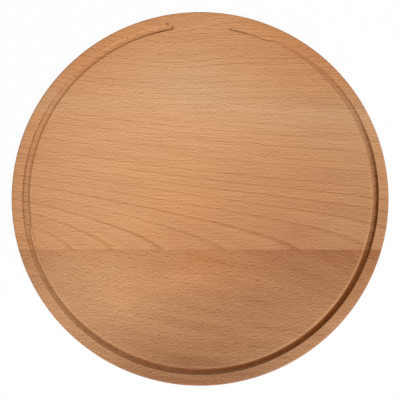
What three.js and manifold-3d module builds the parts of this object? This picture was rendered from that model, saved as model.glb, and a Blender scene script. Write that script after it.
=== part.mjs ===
// A round wooden pizza board: three staves glued edge to edge, turned to a disc and grooved near the rim.
// Units are millimetres. The origin is the centre of the underside, +Z points up through the serving face,
// +X runs along the grain, and +Y points to the back, where the juice groove is left open.

import * as THREE from 'three';
import { mergeVertices } from 'three/addons/utils/BufferGeometryUtils.js';
import Module from 'manifold-3d';

// The turned disc
const BOARD_DIAMETER = 340;
const BOARD_THICKNESS = 15;
const EDGE_ROUND = 1.2; // radius on the top and bottom edges of the rim

// The staves: the middle one has sawn edges on both sides, the outer two end at the rim
const MIDDLE_STAVE_WIDTH = 127.5;
const MIDDLE_STAVE_OFFSET = 13.5; // how far its centre line lies behind the board's centre
const GLUE_THICKNESS = 0.2;

// The juice groove, cut with a ball-nosed cutter that goes in at the right end and comes out at the left
const RIM_WIDTH = 9.5; // flat left between the groove and the board's edge
const CUTTER_RADIUS = 3.2;
const GROOVE_DEPTH = 1.6;
const GROOVE_START_DEPTH = 0.12;
const GROOVE_LEAD_IN = 220; // length over which the cutter sinks from the start depth to the full depth
const GROOVE_GAP = 51; // flat left between the two ends of the groove, along its centre line
const GROOVE_GAP_OFFSET = 1.2; // how far the middle of that flat lies to the right of the board's centre

// How finely round shapes are cut into facets: an arc gets two facets for each division
const DISC_FACETS = 144;
const EDGE_DIVISIONS = 2;
const GROOVE_STEPS = 132;
const NOSE_DIVISIONS = 3; // in a quarter round of the cutter's nose

const boardRadius = BOARD_DIAMETER / 2;
const clearOfBoard = BOARD_THICKNESS; // how far a cutting shape reaches past the wood

const wasm = await Module();
wasm.setup();

// Turns a closed three.js geometry into a solid that can be cut and joined.
function solidFrom(geometry) {
  const bare = geometry.clone();
  bare.deleteAttribute('normal');
  bare.deleteAttribute('uv');
  const merged = mergeVertices(bare);
  const corners = merged.index.array;
  const triangles = [];
  for (let i = 0; i < corners.length; i += 3) {
    const [a, b, c] = corners.slice(i, i + 3);
    const collapsed = a === b || b === c || c === a; // as in the fan at a turning axis
    if (!collapsed) triangles.push(a, b, c);
  }
  return new wasm.Manifold(new wasm.Mesh({
    numProp: 3,
    vertProperties: new Float32Array(merged.attributes.position.array),
    triVerts: new Uint32Array(triangles),
  }));
}

// Turns a cut solid back into a geometry with flat facets.
function geometryFrom(solid) {
  const { numProp, vertProperties, triVerts } = solid.getMesh();
  const indexed = new THREE.BufferGeometry();
  indexed.setAttribute('position', new THREE.BufferAttribute(new Float32Array(vertProperties), numProp));
  indexed.setIndex(new THREE.BufferAttribute(new Uint32Array(triVerts), 1));
  const geometry = indexed.toNonIndexed();
  geometry.computeVertexNormals();
  return geometry;
}

// Turns a half outline of (radius, height) points about the Z axis.
function turned(outline, facets) {
  return new THREE.LatheGeometry(outline, facets).rotateX(Math.PI / 2);
}

// The disc that the glued blank is turned to, with both edges of its rim rounded.
function turnedDisc() {
  const outline = new THREE.Path();
  const shoulder = boardRadius - EDGE_ROUND;
  const upperEdge = BOARD_THICKNESS - EDGE_ROUND;
  outline.moveTo(0, 0);
  outline.lineTo(shoulder, 0);
  outline.absarc(shoulder, EDGE_ROUND, EDGE_ROUND, -Math.PI / 2, 0);
  outline.lineTo(boardRadius, upperEdge);
  outline.absarc(shoulder, upperEdge, EDGE_ROUND, 0, Math.PI / 2);
  outline.lineTo(0, BOARD_THICKNESS);
  return turned(outline.getPoints(EDGE_DIVISIONS), DISC_FACETS);
}

// Half the width that the cutter opens at the surface when it cuts to a depth.
function halfWidthAt(depth) {
  return Math.sqrt(CUTTER_RADIUS ** 2 - Math.max(CUTTER_RADIUS - depth, 0) ** 2);
}

// The way of the cutter's tip round the board. It sinks along the lead-in, and the groove's inner edge stays
// on one circle, so the groove widens outwards as it gets deeper.
class CutterPath extends THREE.Curve {
  constructor(innerRadius, startAngle, endAngle) {
    super();
    Object.assign(this, { innerRadius, startAngle, endAngle });
  }

  getPoint(t, target = new THREE.Vector3()) {
    const angle = THREE.MathUtils.lerp(this.startAngle, this.endAngle, t);
    const run = Math.abs(angle - this.startAngle) * this.innerRadius;
    const sunk = THREE.MathUtils.smoothstep(run, 0, GROOVE_LEAD_IN);
    const depth = THREE.MathUtils.lerp(GROOVE_START_DEPTH, GROOVE_DEPTH, sunk);
    const radius = this.innerRadius + halfWidthAt(depth);
    return target.set(radius * Math.cos(angle), radius * Math.sin(angle), BOARD_THICKNESS - depth);
  }
}

// What the cutter takes away: its section swept along its path, and its own round shape at both ends.
function grooveCut() {
  const innerRadius = boardRadius - RIM_WIDTH - 2 * halfWidthAt(GROOVE_DEPTH);
  const gapMiddle = Math.PI / 2 - GROOVE_GAP_OFFSET / innerRadius;
  const rightEnd = gapMiddle - (GROOVE_GAP / 2 + halfWidthAt(GROOVE_START_DEPTH)) / innerRadius;
  const leftEnd = gapMiddle + (GROOVE_GAP / 2 + halfWidthAt(GROOVE_DEPTH)) / innerRadius;
  const cutterLength = CUTTER_RADIUS + GROOVE_DEPTH + clearOfBoard;
  const path = new CutterPath(innerRadius, rightEnd, leftEnd - 2 * Math.PI);

  // The section's own X axis points down along the sweep: the tip is at 0 and the shank at negative X.
  const section = new THREE.Shape();
  section.moveTo(-cutterLength, -CUTTER_RADIUS);
  section.lineTo(-CUTTER_RADIUS, -CUTTER_RADIUS);
  section.absarc(-CUTTER_RADIUS, 0, CUTTER_RADIUS, -Math.PI / 2, Math.PI / 2);
  section.lineTo(-cutterLength, CUTTER_RADIUS);
  let cut = solidFrom(new THREE.ExtrudeGeometry(section, {
    extrudePath: path, steps: GROOVE_STEPS, curveSegments: 2 * NOSE_DIVISIONS,
  }));

  const cutterOutline = new THREE.Path();
  cutterOutline.absarc(0, CUTTER_RADIUS, CUTTER_RADIUS, -Math.PI / 2, 0);
  cutterOutline.lineTo(CUTTER_RADIUS, cutterLength);
  cutterOutline.lineTo(0, cutterLength);
  const cutter = turned(cutterOutline.getPoints(NOSE_DIVISIONS), 8 * NOSE_DIVISIONS);
  for (const end of [path.getPoint(0), path.getPoint(1)]) {
    cut = cut.add(solidFrom(cutter.clone().translate(end.x, end.y, end.z)));
  }
  return cut;
}

// The strip of the blank between two lines along the grain, as wide and as tall as the board needs.
function stripOfBlank(frontY, backY) {
  const reach = boardRadius + clearOfBoard;
  const outline = new THREE.Shape();
  outline.moveTo(-reach, frontY);
  outline.lineTo(reach, frontY);
  outline.lineTo(reach, backY);
  outline.lineTo(-reach, backY);
  const depth = BOARD_THICKNESS + 2 * clearOfBoard;
  const strip = new THREE.ExtrudeGeometry(outline, { depth, bevelEnabled: false });
  return solidFrom(strip.translate(0, 0, -clearOfBoard));
}

const wholeBoard = solidFrom(turnedDisc()).subtract(grooveCut());

const middleBackY = MIDDLE_STAVE_OFFSET + MIDDLE_STAVE_WIDTH / 2;
const middleFrontY = MIDDLE_STAVE_OFFSET - MIDDLE_STAVE_WIDTH / 2;
const outside = boardRadius + clearOfBoard;

const wood = { roughness: 0.55, metalness: 0 };
const glue = { color: '#7d4f2e', roughness: 0.4, metalness: 0 };

const strips = [
  ['back_stave', middleBackY + GLUE_THICKNESS, outside, { color: '#cd9769', ...wood }],
  ['back_glue_line', middleBackY, middleBackY + GLUE_THICKNESS, glue],
  ['middle_stave', middleFrontY, middleBackY, { color: '#cf9a68', ...wood }],
  ['front_glue_line', middleFrontY - GLUE_THICKNESS, middleFrontY, glue],
  ['front_stave', -outside, middleFrontY - GLUE_THICKNESS, { color: '#bb865b', ...wood }],
];

const board = new THREE.Group();
for (const [name, frontY, backY, finish] of strips) {
  const piece = wholeBoard.intersect(stripOfBlank(frontY, backY));
  const mesh = new THREE.Mesh(geometryFrom(piece), new THREE.MeshStandardMaterial(finish));
  mesh.name = name;
  board.add(mesh);
}

export default board;
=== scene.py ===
import math

import bpy
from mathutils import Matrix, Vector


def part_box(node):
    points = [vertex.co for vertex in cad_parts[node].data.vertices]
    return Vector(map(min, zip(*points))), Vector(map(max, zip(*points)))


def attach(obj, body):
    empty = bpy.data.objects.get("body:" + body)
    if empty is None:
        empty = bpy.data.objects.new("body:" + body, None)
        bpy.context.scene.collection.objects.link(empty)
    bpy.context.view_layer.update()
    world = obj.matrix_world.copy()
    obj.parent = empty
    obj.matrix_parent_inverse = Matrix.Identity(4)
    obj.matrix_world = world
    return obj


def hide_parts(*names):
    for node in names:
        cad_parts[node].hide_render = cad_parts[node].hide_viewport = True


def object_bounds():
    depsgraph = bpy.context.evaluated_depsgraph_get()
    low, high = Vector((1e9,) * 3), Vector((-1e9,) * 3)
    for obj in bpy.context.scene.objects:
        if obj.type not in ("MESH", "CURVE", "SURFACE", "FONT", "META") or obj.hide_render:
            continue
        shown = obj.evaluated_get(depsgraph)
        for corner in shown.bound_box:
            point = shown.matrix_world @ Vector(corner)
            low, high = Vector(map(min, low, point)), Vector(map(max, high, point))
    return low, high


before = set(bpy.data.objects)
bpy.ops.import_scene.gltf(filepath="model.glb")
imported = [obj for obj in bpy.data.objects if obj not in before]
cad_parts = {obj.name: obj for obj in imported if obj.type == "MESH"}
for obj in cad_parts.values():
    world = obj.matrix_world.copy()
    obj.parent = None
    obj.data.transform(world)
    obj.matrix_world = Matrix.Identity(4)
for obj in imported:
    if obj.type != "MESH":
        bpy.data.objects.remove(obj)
cad_low, cad_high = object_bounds()

# Back stave
# The strip of beech behind the centre, where the groove is left open. It has nearly straight grain, is glued
# to the middle stave by its front edge, and was turned, grooved, sanded and oiled with the others.

MM = 0.001
BOARD_RADIUS = cad_high.x
BOARD_THICKNESS = cad_high.z
ROUND_STEPS = 2200
GROOVE_ROWS = 74
GROOVE_INNER_RADIUS = 154.96 * MM
GROOVE_GAP = 51 * MM  # flat left between the groove's two ends
GAP_OFFSET = 1.2 * MM  # how far the middle of that flat lies to the right
RIGHT_NOSE = 0.87 * MM  # how far the cutter reaches past its axis at the shallow right end
LEFT_NOSE = 2.77 * MM  # the same at the deep left end

board_sizes = {
    "Board Radius": BOARD_RADIUS,
    "Board Thickness": BOARD_THICKNESS,
    "Edge Round": 1.2 * MM,
    "Groove Inner Radius": GROOVE_INNER_RADIUS,
    "Cutter Radius": 3.2 * MM,
    "Groove Depth": 1.6 * MM,
    "Start Depth": 0.06 * MM,
    "Lead In": 170 * MM,
    "Start Wander": 1.5 * MM,
    "Left Widening": 1.5 * MM,
    "Inner Lip": 2.0 * MM,
    "Outer Lip": 0.4 * MM,
    "Right End": math.pi / 2 - (GAP_OFFSET + GROOVE_GAP / 2 + RIGHT_NOSE) / GROOVE_INNER_RADIUS,
    "Left End": math.pi / 2 - (GAP_OFFSET - GROOVE_GAP / 2 - LEFT_NOSE) / GROOVE_INNER_RADIUS,
}


class Wire:
    """A node's output. Sums on it add Math nodes to its tree, and node() adds any other node."""

    def __init__(self, tree, socket):
        self.tree = tree
        self.socket = socket

    def node(self, kind, settings, sockets, output=0):
        made = self.tree.nodes.new(kind)
        for name, value in settings.items():
            if name == "stops":
                ramp = made.color_ramp
                while len(ramp.elements) < len(value):
                    ramp.elements.new(1)
                for element, (position, color) in zip(ramp.elements, value):
                    element.position = position
                    element.color = color
            else:
                setattr(made, name, value)
        for name, value in sockets.items():
            for link in value if isinstance(value, list) else [value]:
                if isinstance(link, Wire):
                    self.tree.links.new(link.socket, made.inputs[name])
                else:
                    made.inputs[name].default_value = link
        return Wire(self.tree, made.outputs[output])

    def math(self, operation, *others):
        return self.node("ShaderNodeMath", {"operation": operation}, dict(enumerate((self,) + others)))

    def __add__(self, other):
        return self.math("ADD", other)

    __radd__ = __add__

    def __sub__(self, other):
        return self.math("SUBTRACT", other)

    def __rsub__(self, other):
        return self.node("ShaderNodeMath", {"operation": "SUBTRACT"}, {0: other, 1: self})

    def __mul__(self, other):
        return self.math("MULTIPLY", other)

    __rmul__ = __mul__

    def __truediv__(self, other):
        return self.math("DIVIDE", other)

    def __rtruediv__(self, other):
        return self.node("ShaderNodeMath", {"operation": "DIVIDE"}, {0: other, 1: self})

    def __pow__(self, power):
        return self.math("POWER", power)

    def __neg__(self):
        return self.math("MULTIPLY", -1)

    def __gt__(self, other):
        return self.math("GREATER_THAN", other)

    def __lt__(self, other):
        return self.math("LESS_THAN", other)

    def step(self, low, high):
        """0 below low, 1 above high and a smooth rise between them."""
        settings = {"interpolation_type": "SMOOTHSTEP"}
        return self.node("ShaderNodeMapRange", settings, {"Value": self, "From Min": low, "From Max": high})

    def axes(self):
        return [self.node("ShaderNodeSeparateXYZ", {}, {0: self}, axis) for axis in range(3)]

    def vector(self, x, y, z):
        return self.node("ShaderNodeCombineXYZ", {}, {0: x, 1: y, 2: z})


def turned_strip_tree():
    """The whole board as it leaves the lathe and router, cut down to the strip between Front and Back."""
    tree = bpy.data.node_groups.new("turned_strip", "GeometryNodeTree")
    tree.interface.new_socket("Geometry", in_out="OUTPUT", socket_type="NodeSocketGeometry")
    for name in list(board_sizes) + ["Front", "Back"]:
        tree.interface.new_socket(name, in_out="INPUT", socket_type="NodeSocketFloat")
    tree.interface.new_socket("Finish", in_out="INPUT", socket_type="NodeSocketMaterial")
    inputs = tree.nodes.new("NodeGroupInput")
    size = {socket.name: Wire(tree, socket) for socket in inputs.outputs if socket.name}
    radius, thickness, edge = size["Board Radius"], size["Board Thickness"], size["Edge Round"]
    inner_radius, cutter = size["Groove Inner Radius"], size["Cutter Radius"]
    position = radius.node("GeometryNodeInputPosition", {}, {})
    around, along, _ = position.axes()
    turn = (around + 0.5) * (2 * math.pi)
    share = along + 0.5

    def band(rows, band_radius, band_height):
        grid = {"Size X": 1, "Size Y": 1, "Vertices X": ROUND_STEPS + 1, "Vertices Y": rows + 1}
        flat = position.node("GeometryNodeMeshGrid", {}, grid)
        band_x = band_radius * turn.math("COSINE")
        band_y = band_radius * turn.math("SINE")
        place = position.vector(band_x, band_y, band_height)
        return position.node("GeometryNodeSetPosition", {}, {"Geometry": flat, "Position": place})

    def disc(disc_radius, height):
        circle = {"Vertices": ROUND_STEPS, "Radius": disc_radius}
        flat = position.node("GeometryNodeMeshCircle", {"fill_type": "NGON"}, circle)
        lift = {"Geometry": flat, "Translation": position.vector(0, 0, height)}
        return position.node("GeometryNodeTransform", {}, lift)

    # The turned skin runs from the underside out to the rim, up the side and back in over the top, with fine
    # rows where the groove goes.
    plain_margin = 9 * MM
    fine_inside = 3.5 * MM
    fine_outside = 7 * MM
    shoulder = radius - edge
    inside = inner_radius - plain_margin
    lip_inside = inner_radius - fine_inside
    lip_outside = inner_radius + fine_outside
    bend = share * (math.pi / 2)
    bands = [
        band(2, inside + share * (shoulder - inside), share * 0),
        band(6, shoulder + edge * bend.math("SINE"), edge - edge * bend.math("COSINE")),
        band(3, radius + share * 0, edge + share * (thickness - 2 * edge)),
        band(6, shoulder + edge * bend.math("COSINE"), thickness - edge + edge * bend.math("SINE")),
        band(3, shoulder + share * (lip_outside - shoulder), thickness + share * 0),
        band(GROOVE_ROWS, lip_outside + share * (lip_inside - lip_outside), thickness + share * 0),
        band(2, lip_inside + share * (inside - lip_inside), thickness + share * 0),
    ]
    underside = position.node("GeometryNodeFlipFaces", {}, {0: disc(inside, 0)})
    skin = position.node("GeometryNodeJoinGeometry", {}, {0: bands + [disc(inside, thickness), underside]})
    skin = position.node("GeometryNodeMergeByDistance", {}, {"Geometry": skin, "Distance": 0.001 * MM})

    # The cutter goes in at the right end and sinks along the lead-in, where it jumps outwards off its circle
    # and slowly comes back. After a narrower stretch, a second pass widened the groove inwards at the left
    # side, less and less to the left end. The groove is as deep as the cutter's round nose reaches. Its lips
    # are eased, but sharper in the second pass.
    start_inside = 0.2
    jump_out = 1.9
    jump_back = 0.7
    narrow_share = 0.6
    wide_share = 1.6
    taper = 0.65
    sharper_lip = 0.7
    widest = math.radians(252)
    blend_in = math.radians(6)
    x, y, z = position.axes()
    from_axis = (x * x + y * y).math("SQRT")
    gap = size["Left End"] - size["Right End"]
    passed = (size["Right End"] - y.math("ARCTAN2", x)).math("WRAP", 2 * math.pi - gap / 2, gap * -0.5)
    run = passed.math("MAXIMUM", 0).math("MINIMUM", 2 * math.pi - gap)
    beyond = passed - run
    sunk = (run * inner_radius / size["Lead In"]).step(0, 1)
    deepest = size["Start Depth"] + sunk * (size["Groove Depth"] - size["Start Depth"])
    half_width = (deepest * (2 * cutter - deepest)).math("SQRT")
    jumped = run.step(math.radians(12.5), math.radians(16.5)) * jump_out
    jumped = jumped - run.step(math.radians(17), math.radians(19.5)) * jump_back
    returned = run.step(math.radians(36), math.radians(110))
    wander = size["Start Wander"] * (jumped - start_inside - returned)
    narrowed = run.step(math.radians(200), math.radians(225)) * narrow_share
    second_pass = run.step(widest - blend_in, widest)
    widened = second_pass * (wide_share - (run - widest) * taper)
    widening = size["Left Widening"] * (widened - narrowed)
    path_radius = inner_radius + half_width + wander - widening / 2
    span = from_axis * from_axis + path_radius * path_radius
    from_path = (span - 2 * from_axis * path_radius * beyond.math("COSINE")).math("MAXIMUM", 0).math("SQRT")
    from_path = (from_path - widening / 2).math("MAXIMUM", 0)
    inner_share = (path_radius - from_axis).step(-1.5 * MM, 1.5 * MM)
    sharpened = second_pass * sharper_lip
    lip = size["Outer Lip"] + inner_share * (1 - sharpened) * (size["Inner Lip"] - size["Outer Lip"])
    lip_end = (deepest * (2 * (cutter + lip) - deepest)).math("SQRT")
    lip_start = lip_end * cutter / (cutter + lip)
    cove = deepest - cutter + (cutter * cutter - from_path * from_path).math("MAXIMUM", 0).math("SQRT")
    into_lip = (lip_end - from_path).math("MAXIMUM", 0)
    eased = lip - (lip * lip - into_lip * into_lip).math("MAXIMUM", 0).math("SQRT")
    in_cove = from_path < lip_start
    cut = in_cove * cove + (1 - in_cove) * eased
    on_top = z > thickness - 0.01 * MM
    grooved = {"Geometry": skin, "Selection": on_top, "Offset": position.vector(0, 0, -cut)}
    board = position.node("GeometryNodeSetPosition", {}, grooved)

    # The strip is what lies between its two sawn edges.
    reach = 2.2 * radius
    block = position.vector(reach, size["Back"] - size["Front"], 3 * thickness)
    strip = position.node("GeometryNodeMeshCube", {}, {"Size": block})
    middle = position.vector(0, (size["Back"] + size["Front"]) / 2, thickness / 2)
    strip = position.node("GeometryNodeTransform", {}, {"Geometry": strip, "Translation": middle})
    cutting = {"operation": "INTERSECT", "solver": "MANIFOLD"}
    piece = position.node("GeometryNodeMeshBoolean", cutting, {1: [board, strip]})
    smooth = {"Geometry": piece, "Shade Smooth": True}
    piece = position.node("GeometryNodeSetShadeSmooth", {"domain": "FACE"}, smooth)
    sharp = position.node("GeometryNodeInputMeshEdgeAngle", {}, {}) > math.radians(40)
    crisp = {"Geometry": piece, "Selection": sharp, "Shade Smooth": False}
    piece = position.node("GeometryNodeSetShadeSmooth", {"domain": "EDGE"}, crisp)
    travel = passed / (2 * math.pi - gap)
    past_inner = (from_axis - path_radius + half_width + widening / 2) / MM
    past_outer = (from_axis - path_radius - half_width - widening / 2) / MM
    mark = {"Geometry": piece, "Name": "groove", "Value": position.vector(travel, past_inner, past_outer)}
    piece = position.node("GeometryNodeStoreNamedAttribute", {"data_type": "FLOAT_VECTOR"}, mark)
    piece = position.node("GeometryNodeRealizeInstances", {}, {0: piece})
    piece = position.node("GeometryNodeSetMaterial", {}, {"Geometry": piece, "Material": size["Finish"]})
    output = tree.nodes.new("NodeGroupOutput")
    tree.links.new(piece.socket, output.inputs[0])
    return tree


turned_strip = turned_strip_tree()


def cut_strip(name, node, finish):
    """Cuts the strip that stands for one node of the frame, as a plain mesh that rides on the board."""
    low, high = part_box(node)
    past_rim = 10 * MM
    sizes = dict(board_sizes, Front=low.y, Back=high.y, Finish=finish)
    if high.y == cad_high.y:
        sizes["Back"] = high.y + past_rim
    if low.y == cad_low.y:
        sizes["Front"] = low.y - past_rim
    piece = bpy.data.objects.new(name, bpy.data.meshes.new(name))
    bpy.context.scene.collection.objects.link(piece)
    modifier = piece.modifiers.new("turned strip", "NODES")
    modifier.node_group = turned_strip
    for socket in turned_strip.interface.items_tree:
        if socket.in_out == "INPUT":
            modifier[socket.identifier] = sizes[socket.name]
    evaluated = piece.evaluated_get(bpy.context.evaluated_depsgraph_get())
    mesh = bpy.data.meshes.new_from_object(evaluated)
    piece.modifiers.clear()
    piece.data = mesh
    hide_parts(node)
    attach(piece, "root")
    return piece


def oiled_beech(name, rings_at, tone_at, paleness_at, weights, seed):
    """Beech as a solid: growth rings, rays and fibres run through the stave, so its edges match its face.

    rings_at counts the growth rings at x, y and the depth under the face, in millimetres. At x and y in
    decimetres, tone_at says how deep the wood's colour is, and paleness_at how far it leans from ruddy to
    ashen. The weights are those of the ring lines, the long and the short fibres and the rays, and then how
    far the fibres wave, in millimetres.
    """
    line_weight, long_weight, short_weight, fleck_weight, waviness = weights
    material = bpy.data.materials.new(name)
    material.use_nodes = True
    tree = material.node_tree
    shader = tree.nodes["Principled BSDF"]
    coordinates = tree.nodes.new("ShaderNodeTexCoord")
    place = Wire(tree, coordinates.outputs["Object"])
    x, y, z = [axis / MM for axis in place.axes()]
    facing = Wire(tree, coordinates.outputs["Normal"])
    depth = BOARD_THICKNESS / MM - z

    def noise(long, wide, detail, shift, across=y):
        where = place.vector(x / long + (seed + shift), across / wide, depth / wide)
        return place.node("ShaderNodeTexNoise", {}, {"Vector": where, "Scale": 1, "Detail": detail}) - 0.5

    def mix(share, first, second):
        return place.node("ShaderNodeMix", {"data_type": "RGBA"}, {0: share, 6: first, 7: second}, 2)

    staining = {"data_type": "RGBA", "blend_type": "MULTIPLY", "clamp_factor": False}

    # Growth rings: a thin dark line of late wood closes each year, some years stronger than others.
    sway = noise(60, 22, 2, 0) * 2
    stagger = noise(12, 2.5, 2, 3) * 1.3
    rings = rings_at(x, y + sway + stagger, depth)
    year = rings.math("FLOOR")
    season = rings - year
    strength = place.node("ShaderNodeTexWhiteNoise", {"noise_dimensions": "1D"}, {"W": year + seed})
    broken = (noise(20, 2.5, 2, 5) * 2.5 + 0.85).math("MAXIMUM", 0.3).math("MINIMUM", 1)
    late = season.step(0.8, 0.95) * (1 - season.step(0.95, 1))
    beside = season.step(0.4, 0.7) * (1 - season.step(0.72, 0.84)) + 1 - season.step(0.06, 0.3)
    line = (late - beside * 0.2) * (strength * 0.9 + 0.1) * broken * line_weight

    # Rays show on the face as short dark dashes, and fibres as fine streaks along the grain. Both are crisp,
    # with a lighter edge on each side.
    def crisp(long, wide, detail, shift, across):
        before = noise(long, wide, detail, shift, across - wide)
        after = noise(long, wide, detail, shift, across + wide)
        return noise(long, wide, detail, shift, across) - (before + after) * 0.4

    ripple = y + noise(10, 6, 1, 9) * waviness
    fleck = crisp(6.5, 1.4, 1, 11, ripple).step(0, 0.35) * 0.5 * fleck_weight
    short_fibre = crisp(2.2, 1.3, 1, 23, ripple) * short_weight
    long_fibre = crisp(28, 1.3, 2, 29, y + sway) * long_weight
    fibre = short_fibre + long_fibre
    grain = line + fleck + fibre

    # Colour: from light to dark wood, in slow drifts along the rings, ruddy in some places, ashen in others.
    drift = noise(90, 10, 2, 31, rings * 6)
    tone = tone_at(x / 100, y / 100) + drift * 0.25
    paleness = paleness_at(x / 100, y / 100) + noise(30, 14, 2, 37) * 0.25
    ruddy_wood = (0.892, 0.427, 0.182, 1)
    ashen_wood = (0.892, 0.532, 0.282, 1)
    dark_ruddy_wood = (0.277, 0.081, 0.019, 1)
    dark_ashen_wood = (0.277, 0.118, 0.055, 1)
    light_wood = mix(paleness, ruddy_wood, ashen_wood)
    dark_wood = mix(paleness, dark_ruddy_wood, dark_ashen_wood)
    stain = (0.45, 0.27, 0, 1)
    color = mix(tone, light_wood, dark_wood)
    color = place.node("ShaderNodeMix", staining, {0: grain, 6: color, 7: stain}, 2)

    # End grain drinks more oil. Painted shade darkens the groove's floor and both of its edges, more in some
    # stretches than in others and most along the front right, and a painted highlight lightens the inner lip
    # beside it. Where the second pass begins, a painted highlight lies along the ridge and a painted shade
    # line along its faint inner edge, and a small dark nick at the left end is painted as the shade of a
    # torn-out chip.
    # Each mark gives the share of the way, and there the painted shade of the floor, of the outer wall and
    # of the inner edge, and the painted highlight of the inner lip.
    end_grain = facing.axes()[0].math("ABSOLUTE") ** 1.5
    marks = [
        (0.000, (0.00, 0.35, 0.66, 0.00)),
        (0.016, (0.00, 0.35, 0.60, 0.00)),
        (0.022, (0.00, 0.35, 0.36, 0.00)),
        (0.042, (0.05, 0.35, 0.36, 0.00)),
        (0.052, (0.10, 0.30, 0.00, 0.00)),
        (0.100, (0.10, 0.30, 0.00, 0.00)),
        (0.150, (0.15, 0.35, 0.00, 0.20)),
        (0.200, (0.24, 0.72, 0.00, 0.20)),
        (0.240, (0.36, 0.95, 0.00, 0.40)),
        (0.300, (0.88, 0.92, 0.00, 0.85)),
        (0.340, (0.98, 0.92, 0.00, 1.00)),
        (0.420, (0.98, 0.72, 0.00, 0.55)),
        (0.470, (0.95, 0.30, 0.00, 0.20)),
        (0.530, (0.66, 0.15, 0.00, 0.20)),
        (0.590, (0.65, 0.10, 0.00, 0.40)),
        (0.650, (0.48, 0.10, 0.00, 1.00)),
        (0.710, (0.22, 0.25, 0.00, 0.70)),
        (0.760, (0.11, 0.22, 0.05, 0.00)),
        (0.820, (0.07, 0.18, 0.12, 0.00)),
        (0.880, (0.00, 0.18, 0.00, 0.00)),
        (0.940, (0.00, 0.18, 0.08, 0.00)),
        (0.978, (0.00, 0.18, 0.32, 0.00)),
        (0.990, (0.10, 0.18, 0.95, 0.00)),
        (1.000, (0.10, 0.18, 0.40, 0.00)),
    ]
    groove = place.node("ShaderNodeAttribute", {"attribute_name": "groove"}, {}, "Vector")
    travel, past_inner, past_outer = groove.axes()
    ramp = place.node("ShaderNodeValToRGB", {"stops": marks}, {0: travel})
    shade_along_floor, shade_along_outer_wall, shade_along_inner_edge = ramp.axes()
    highlight_along_lip = Wire(tree, ramp.socket.node.outputs["Alpha"])
    wobble = noise(5, 5, 1, 41) * 1.4
    off_rim = travel.step(0.7, 0.76) * 0.5
    mottle = 1 + noise(3, 3, 1, 43) * (1.2 - shade_along_floor)
    deepest_mark = 5
    on_face = depth < deepest_mark
    between_edges = past_inner.step(-0.8, 1.8) * (1 - past_outer.step(-0.4, 0.4))
    in_groove = depth.step(0.08, 0.55) * between_edges * on_face
    across = (past_inner / (past_inner - past_outer)).math("MAXIMUM", 0).math("MINIMUM", 1)
    # Painted shade: thin dark lines along the groove's outer and inner edges, at its left end, and over a
    # small torn-out nick there.
    edge_shade_weight = 0.45 - travel.step(0.25, 0.35) * 0.35 + travel.step(0.70, 0.76) * 0.45
    edge_shade_weight = travel.step(0.05, 0.15) * (edge_shade_weight - travel.step(0.82, 0.95) * 0.48)
    outer_shade_line = 1 - (past_outer + 0.3 + off_rim + wobble).math("ABSOLUTE").step(0.2, 0.9)
    outer_shade_line = outer_shade_line * edge_shade_weight * depth.step(0.02, 0.2) * on_face
    cut_here = travel.step(-0.003, 0.001) * (1 - travel.step(1.002, 1.006)) * on_face
    inner_shade_line = (1 - (past_inner - 0.5 + wobble).math("ABSOLUTE").step(0.2, 1.3)) * shade_along_inner_edge * cut_here
    end_shade_line = travel.step(0.999, 1.002) * past_inner.step(-0.5, 0.5) * (1 - past_inner.step(2.5, 4))
    end_shade_line = end_shade_line * 0.3 * cut_here
    nick_x = -30.2
    nick_y = 158.3
    nick_half_length = 2.1
    nick_half_width = 1.3
    nick = ((x - nick_x) / nick_half_length) ** 2 + ((y - nick_y) / nick_half_width) ** 2
    nick = 1 - nick.step(0.2, 1.4)
    inner_shade_line = inner_shade_line.math("MAXIMUM", end_shade_line).math("MAXIMUM", nick * on_face * 0.5)
    # Painted highlight: the inner lip is lightened towards ashen wood, mostly at the front.
    painted_lip_highlight = past_inner.step(-2.4, -1) * (1 - past_inner.step(-0.4, 0.6)) * highlight_along_lip
    from_axis = (x * x + y * y).math("SQRT")
    # Painted highlight along the ridge between the two passes, and a painted shade line along the second
    # pass's faint inner edge.
    two_passes = travel.step(0.67, 0.70) * (1 - travel.step(0.74, 0.75)) * on_face
    ridge_radius = 155.3
    score_radius = 154.1
    ridge = (1 - (from_axis - ridge_radius + wobble).math("ABSOLUTE").step(0.1, 0.9)) * two_passes
    score = (1 - (from_axis - score_radius + wobble).math("ABSOLUTE").step(0.1, 0.8)) * two_passes
    end_wood = (0.300, 0.115, 0.040, 1)
    # The bright orange below paints light onto the shaded inner wall at the left, and the dark brown after
    # it is the colour of the painted shade.
    painted_light_orange = (0.95, 0.34, 0.07, 1)
    painted_shade_brown = (0.124, 0.028, 0, 1)
    color = mix(end_grain * 0.35, color, end_wood)
    color = mix(painted_lip_highlight * 0.18, color, ashen_wood)
    color = mix(ridge * (0.22 + noise(3, 3, 1, 47)), color, ashen_wood)
    # Painted light: the inner wall at the left, which faces away from the lamp, is lightened towards bright
    # orange.
    wall = past_inner.step(-1.2, -0.2) * (1 - past_inner.step(0.8, 1.8)) * travel.step(0.74, 0.8)
    color = mix(wall * depth.step(0, 0.1) * on_face * 0.25, color, painted_light_orange)
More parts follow.
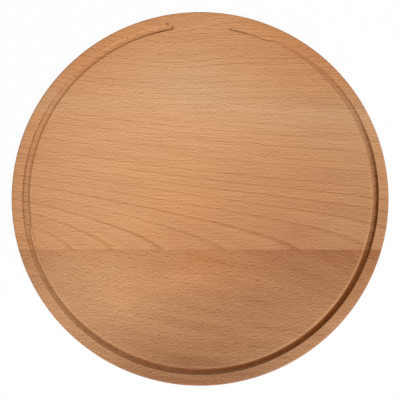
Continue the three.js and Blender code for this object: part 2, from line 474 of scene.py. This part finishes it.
    # Painted shade: the groove's floor and outer wall are mixed towards dark brown, most along the front
    # right; less on the outer wall where the lamp's own shade already falls, and at the top of that wall.
    shade_eased_on_outer_wall = across.step(0.5, 0.95) * travel.step(0.36, 0.52) * 0.8
    floor_shade = shade_along_floor * (1 - shade_eased_on_outer_wall)
    top_of_wall = past_outer.step(-1.3, -0.3) * travel.step(0.25, 0.32) * 0.5
    wall_shade = shade_along_outer_wall * (across * 1.4).math("MINIMUM", 1)
    painted_groove_shade = in_groove * (1 - top_of_wall) * mottle * floor_shade.math("MAXIMUM", wall_shade)
    painted_groove_shade = painted_groove_shade.math("MAXIMUM", outer_shade_line).math("MAXIMUM", inner_shade_line).math("MAXIMUM", score * 0.3)
    color = mix(painted_groove_shade, color, painted_shade_brown)
    tree.links.new(color.socket, shader.inputs["Base Color"])
    gloss = 0.5 + fibre * 0.2 + fleck * 0.08 + end_grain * 0.12 + in_groove * 0.1
    tree.links.new(gloss.socket, shader.inputs["Roughness"])
    height = fibre * -0.8 - fleck * 0.3 - line * 0.3
    bump = place.node("ShaderNodeBump", {}, {"Strength": 0.3, "Distance": 0.1 * MM, "Height": height})
    tree.links.new(bump.socket, shader.inputs["Normal"])
    shader.inputs["Specular IOR Level"].default_value = 0.1
    return material


def back_rings(x, y, depth):
    along = x / 100
    across = (y - 115) / 35
    wave = (x * (2 * math.pi / 107) - 0.12).math("SINE")
    level = y - 2.9 * along - 4.1 * along * along + 3.6 * along * along * along
    level = level - (1.22 + 1.44 * across) * wave - 2.35 * along * across + depth * 0.7
    return (level - 82.7) / 5.15


def back_tone(x, y):
    return 0.125 + 0.17 * x + 0.292 * y + 0.089 * x * x - 0.08 * x * y - 0.06 * y * y - 0.03 * x * x * x


def back_paleness(x, y):
    along = (x + 0.12 + 0.5 * (y - 1.05)) / 0.5
    across = (y - 0.97) / 0.3
    return 0.48 - 0.16 * y + 0.8 * x * x * (1 - y) + 0.6 / (1 + along * along + across * across)


back_weights = (0.52, 0.56, 0.8, 0.5, 4)
back_wood = oiled_beech("back_stave_beech", back_rings, back_tone, back_paleness, back_weights, 717.3)
cut_strip("back_stave_turned", "back_stave", back_wood)

# Middle stave
# The widest strip of beech, sawn nearer the heart of the tree, so its growth rings slant across the face and
# run out at the front joint. Both of its long edges are planed and glued.


def middle_rings(x, y, depth):
    along = x / 100
    across = (y - 13) / 60
    pith_y = -81.9 - 6.6 * along + 1.75 * along * along
    pith_depth = 43.9 + 11.7 * along - 1.96 * along * along + 1.33 * along * along * along - depth
    level = y + 11.2 * across * across - 7.4 * across * across * across - pith_y
    from_pith = (level * level + pith_depth * pith_depth).math("SQRT")
    spread = (from_pith - 110) / 50
    return 7.54 + 7.67 * spread + 0.94 * spread * spread + 0.45 * spread * spread * spread


def middle_tone(x, y):
    y = y - 0.13
    curve = 0.048 * x * x - 0.055 * x * y + 0.025 * y * y + 0.03 * x * x * y
    pale_patch = 0.03 / (1 + ((x + 0.35) / 0.25) ** 2 + ((y + 0.2) / 0.2) ** 2)
    pale_end = 0.06 / (1 + ((x - 1.1) / 0.2) ** 2 + ((y + 0.57) / 0.08) ** 2)
    dark_patch = 0.05 / (1 + ((x - 0.2) / 0.18) ** 2 + ((y + 0.38) / 0.15) ** 2)
    dark_end = 0.07 / (1 + ((x + 1.6) / 0.2) ** 2 + ((y + 0.58) / 0.2) ** 2)
    curve = curve - 0.042 * x * x * x + dark_patch + dark_end - pale_patch - pale_end
    return 0.414 + 0.14 * x - 0.165 * y + curve


def middle_paleness(x, y):
    along = (x + 0.15) / 0.5
    across = (y + 0.1) / 0.35
    off_middle = y - 0.13
    curve = 0.35 * y * y * (1 + x) - 0.1 * off_middle * off_middle
    curve = curve + 0.6 * off_middle * off_middle * off_middle
    curve = curve + 0.025 * x * x + 0.04 * x * x * x - 0.047 * x * x * off_middle
    return 0.418 - 0.07 * x - 0.06 * off_middle + curve - 0.18 / (1 + along * along + across * across)


middle_weights = (0.54, 0.6, 0.8, 0.4, 3)
middle_wood = oiled_beech(
    "middle_stave_beech", middle_rings, middle_tone, middle_paleness, middle_weights, 184.4
)
cut_strip("middle_stave_turned", "middle_stave", middle_wood)

# Front stave
# The strip of beech in front, from near the bark side of another plank: quiet rings, many short rays, and a
# redder, darker tone beside the joint. Its back edge is planed and glued to the middle stave.


def front_rings(x, y, depth):
    along = x / 100
    across = (y + 100) / 50
    level = y + 17 * along + 6.6 * along * along * along + 11 * along * along * across
    level = level - 3.5 * along * across * across - 7.3 * across * across + depth * 0.5
    return (level + 60.7) / 5.4


def front_tone(x, y):
    y = y + 1
    slope = 0.16 * x - 0.2 * y - 0.028 * x * x + 0.18 * x * y + 0.21 * y * y
    pale_patch = 0.085 / (1 + ((x + 0.72) / 0.2) ** 2 + ((y - 0.03) / 0.16) ** 2)
    pale_streak = 0.14 / (1 + ((x + 0.08) / 0.22) ** 2 + ((y - 0.26) / 0.05) ** 2)
    dark_band = 0.09 / (1 + ((x + 0.2) / 0.35) ** 2 + ((y + 0.5) / 0.06) ** 2)
    pale_rim = 0.07 / (1 + ((x + 0.9) / 0.25) ** 2 + ((y + 0.47) / 0.1) ** 2)
    dark_end = 0.04 / (1 + ((x + 1.4) / 0.15) ** 2 + ((y - 0.25) / 0.2) ** 2)
    slope = slope - 0.06 * x * x * x + 0.17 * x * x * y - 0.14 * x * y * y
    pale_left = 0.05 / (1 + ((x + 0.75) / 0.3) ** 2 + ((y - 0.39) / 0.06) ** 2)
    return 0.678 + slope + dark_band + dark_end - pale_rim - pale_patch - pale_streak - pale_left


def front_paleness(x, y):
    y = y + 1
    along = x / 0.35
    across = (y - 0.4) / 0.2
    ruddy_patch = 0.45 / (1 + along * along + across * across)
    slope = 0.07 * x * x - 0.14 * x * y + 0.25 * y * y
    slope = slope - 0.22 * x * x * y + 0.22 * x * y * y - 0.6 * y * y * y
    return 0.56 - 0.02 * x - 0.1 * y + slope - ruddy_patch


front_weights = (0.1, 0.3, 1.0, 0.8, 4)
front_wood = oiled_beech("front_stave_beech", front_rings, front_tone, front_paleness, front_weights, 13.1)
cut_strip("front_stave_turned", "front_stave", front_wood)

# Glue lines
# A film of cured wood glue fills each joint, turned and sanded flush with the staves. It soaks into the wood
# on both sides. The front film dries to a thin brown line, and the tight back one is hardly seen.


def cured_glue(name, color_from, color_to, seed):
    material = bpy.data.materials.new(name)
    material.use_nodes = True
    tree = material.node_tree
    shader = tree.nodes["Principled BSDF"]
    place = Wire(tree, tree.nodes.new("ShaderNodeTexCoord").outputs["Object"])
    x, _, z = [axis / MM for axis in place.axes()]
    where = place.vector(x / 11 + seed, seed, z / 4)
    soaked = place.node("ShaderNodeTexNoise", {}, {"Vector": where, "Scale": 1, "Detail": 3}).step(0.3, 0.7)
    color = place.node("ShaderNodeMix", {"data_type": "RGBA"}, {0: soaked, 6: color_from, 7: color_to}, 2)
    tree.links.new(color.socket, shader.inputs["Base Color"])
    tree.links.new((0.4 + soaked * 0.2).socket, shader.inputs["Roughness"])
    return material


back_glue = cured_glue("back_glue", (0.84, 0.54, 0.32, 1), (0.70, 0.39, 0.20, 1), 3.1)
front_glue = cured_glue("front_glue", (0.23, 0.09, 0.034, 1), (0.15, 0.055, 0.02, 1), 8.7)
cut_strip("back_glue_film", "back_glue_line", back_glue)
cut_strip("front_glue_film", "front_glue_line", front_glue)

# Floor and light
# A plain white studio table under the board, and one large soft lamp low at the front right, with even light
# from all round.

floor_mesh = bpy.data.meshes.new("studio_floor")
floor_half = 4.0
corners = [
    (-floor_half, -floor_half, 0),
    (floor_half, -floor_half, 0),
    (floor_half, floor_half, 0),
    (-floor_half, floor_half, 0),
]
floor_mesh.from_pydata(corners, [], [(0, 1, 2, 3)])
floor = bpy.data.objects.new("studio_floor", floor_mesh)
bpy.context.scene.collection.objects.link(floor)


def seen_directly(tree):
    """1 for what the camera sees, straight or in a shine, and 0 for light that only bounces."""
    rays = tree.nodes.new("ShaderNodeLightPath")
    straight = Wire(tree, rays.outputs["Is Camera Ray"])
    shine = Wire(tree, rays.outputs["Is Glossy Ray"])
    through = Wire(tree, rays.outputs["Is Transmission Ray"])
    return straight.math("MAXIMUM", shine).math("MAXIMUM", through)


floor_paint = bpy.data.materials.new("studio_floor")
floor_paint.use_nodes = True
floor_tree = floor_paint.node_tree
floor_tree.nodes.clear()
seen = seen_directly(floor_tree)
matte = seen.node("ShaderNodeBsdfDiffuse", {}, {"Color": (0.9, 0.9, 0.9, 1)})
glow = seen.node("ShaderNodeEmission", {}, {"Color": (1, 1, 1, 1), "Strength": 1})
cover = seen.node("ShaderNodeMixShader", {}, {0: seen * 0.97, 1: matte, 2: glow})
floor_output = floor_tree.nodes.new("ShaderNodeOutputMaterial")
floor_tree.links.new(cover.socket, floor_output.inputs["Surface"])
floor_mesh.materials.append(floor_paint)

world = bpy.data.worlds.new("studio")
bpy.context.scene.world = world
world.use_nodes = True
world_tree = world.node_tree
world_tree.nodes.clear()
seen = seen_directly(world_tree)
dim = seen.node("ShaderNodeBackground", {}, {"Color": (1, 1, 1, 1), "Strength": 0.33})
white = seen.node("ShaderNodeBackground", {}, {"Color": (1, 1, 1, 1), "Strength": 1})
sky = seen.node("ShaderNodeMixShader", {}, {0: seen, 1: dim, 2: white})
world_output = world_tree.nodes.new("ShaderNodeOutputWorld")
world_tree.links.new(sky.socket, world_output.inputs["Surface"])

LAMP_LEVEL = 0.67
LAMP_DISTANCE = 4.0
LAMP_AZIMUTH = math.radians(-62)
LAMP_ELEVATION = math.radians(50)
lamp_data = bpy.data.lights.new("soft_lamp", "AREA")
lamp_data.shape = "DISK"
lamp_data.size = 1.4
lamp_data.energy = LAMP_LEVEL * math.pi ** 2 * LAMP_DISTANCE ** 2 / math.sin(LAMP_ELEVATION)
lamp = bpy.data.objects.new("soft_lamp", lamp_data)
flat_reach = LAMP_DISTANCE * math.cos(LAMP_ELEVATION)
lamp.location = (
    flat_reach * math.cos(LAMP_AZIMUTH),
    flat_reach * math.sin(LAMP_AZIMUTH),
    LAMP_DISTANCE * math.sin(LAMP_ELEVATION),
)
lamp.rotation_euler = lamp.location.to_track_quat("Z", "Y").to_euler()
bpy.context.scene.collection.objects.link(lamp)

# Camera
# Nearly straight above the board, leaning a few degrees to the front, so that the board fills the square
# frame.

SENSOR_WIDTH = 36
IMAGE_PIXELS = 400
MM_PER_PIXEL = 0.9003
CAMERA_DISTANCE = 0.9
CAMERA_TILT = math.radians(7.45)
camera_data = bpy.data.cameras.new("camera")
camera_data.sensor_width = SENSOR_WIDTH
camera_data.lens = SENSOR_WIDTH * CAMERA_DISTANCE / (IMAGE_PIXELS * MM_PER_PIXEL * MM)
camera = bpy.data.objects.new("camera", camera_data)
aim = (-0.1 * MM, -5.3 * MM, BOARD_THICKNESS)
camera.location = (
    aim[0],
    aim[1] - CAMERA_DISTANCE * math.sin(CAMERA_TILT),
    aim[2] + CAMERA_DISTANCE * math.cos(CAMERA_TILT),
)
camera.rotation_euler = (CAMERA_TILT, 0, 0)
bpy.context.scene.collection.objects.link(camera)
bpy.context.scene.camera = camera
bpy.context.scene.view_settings.view_transform = "Standard"
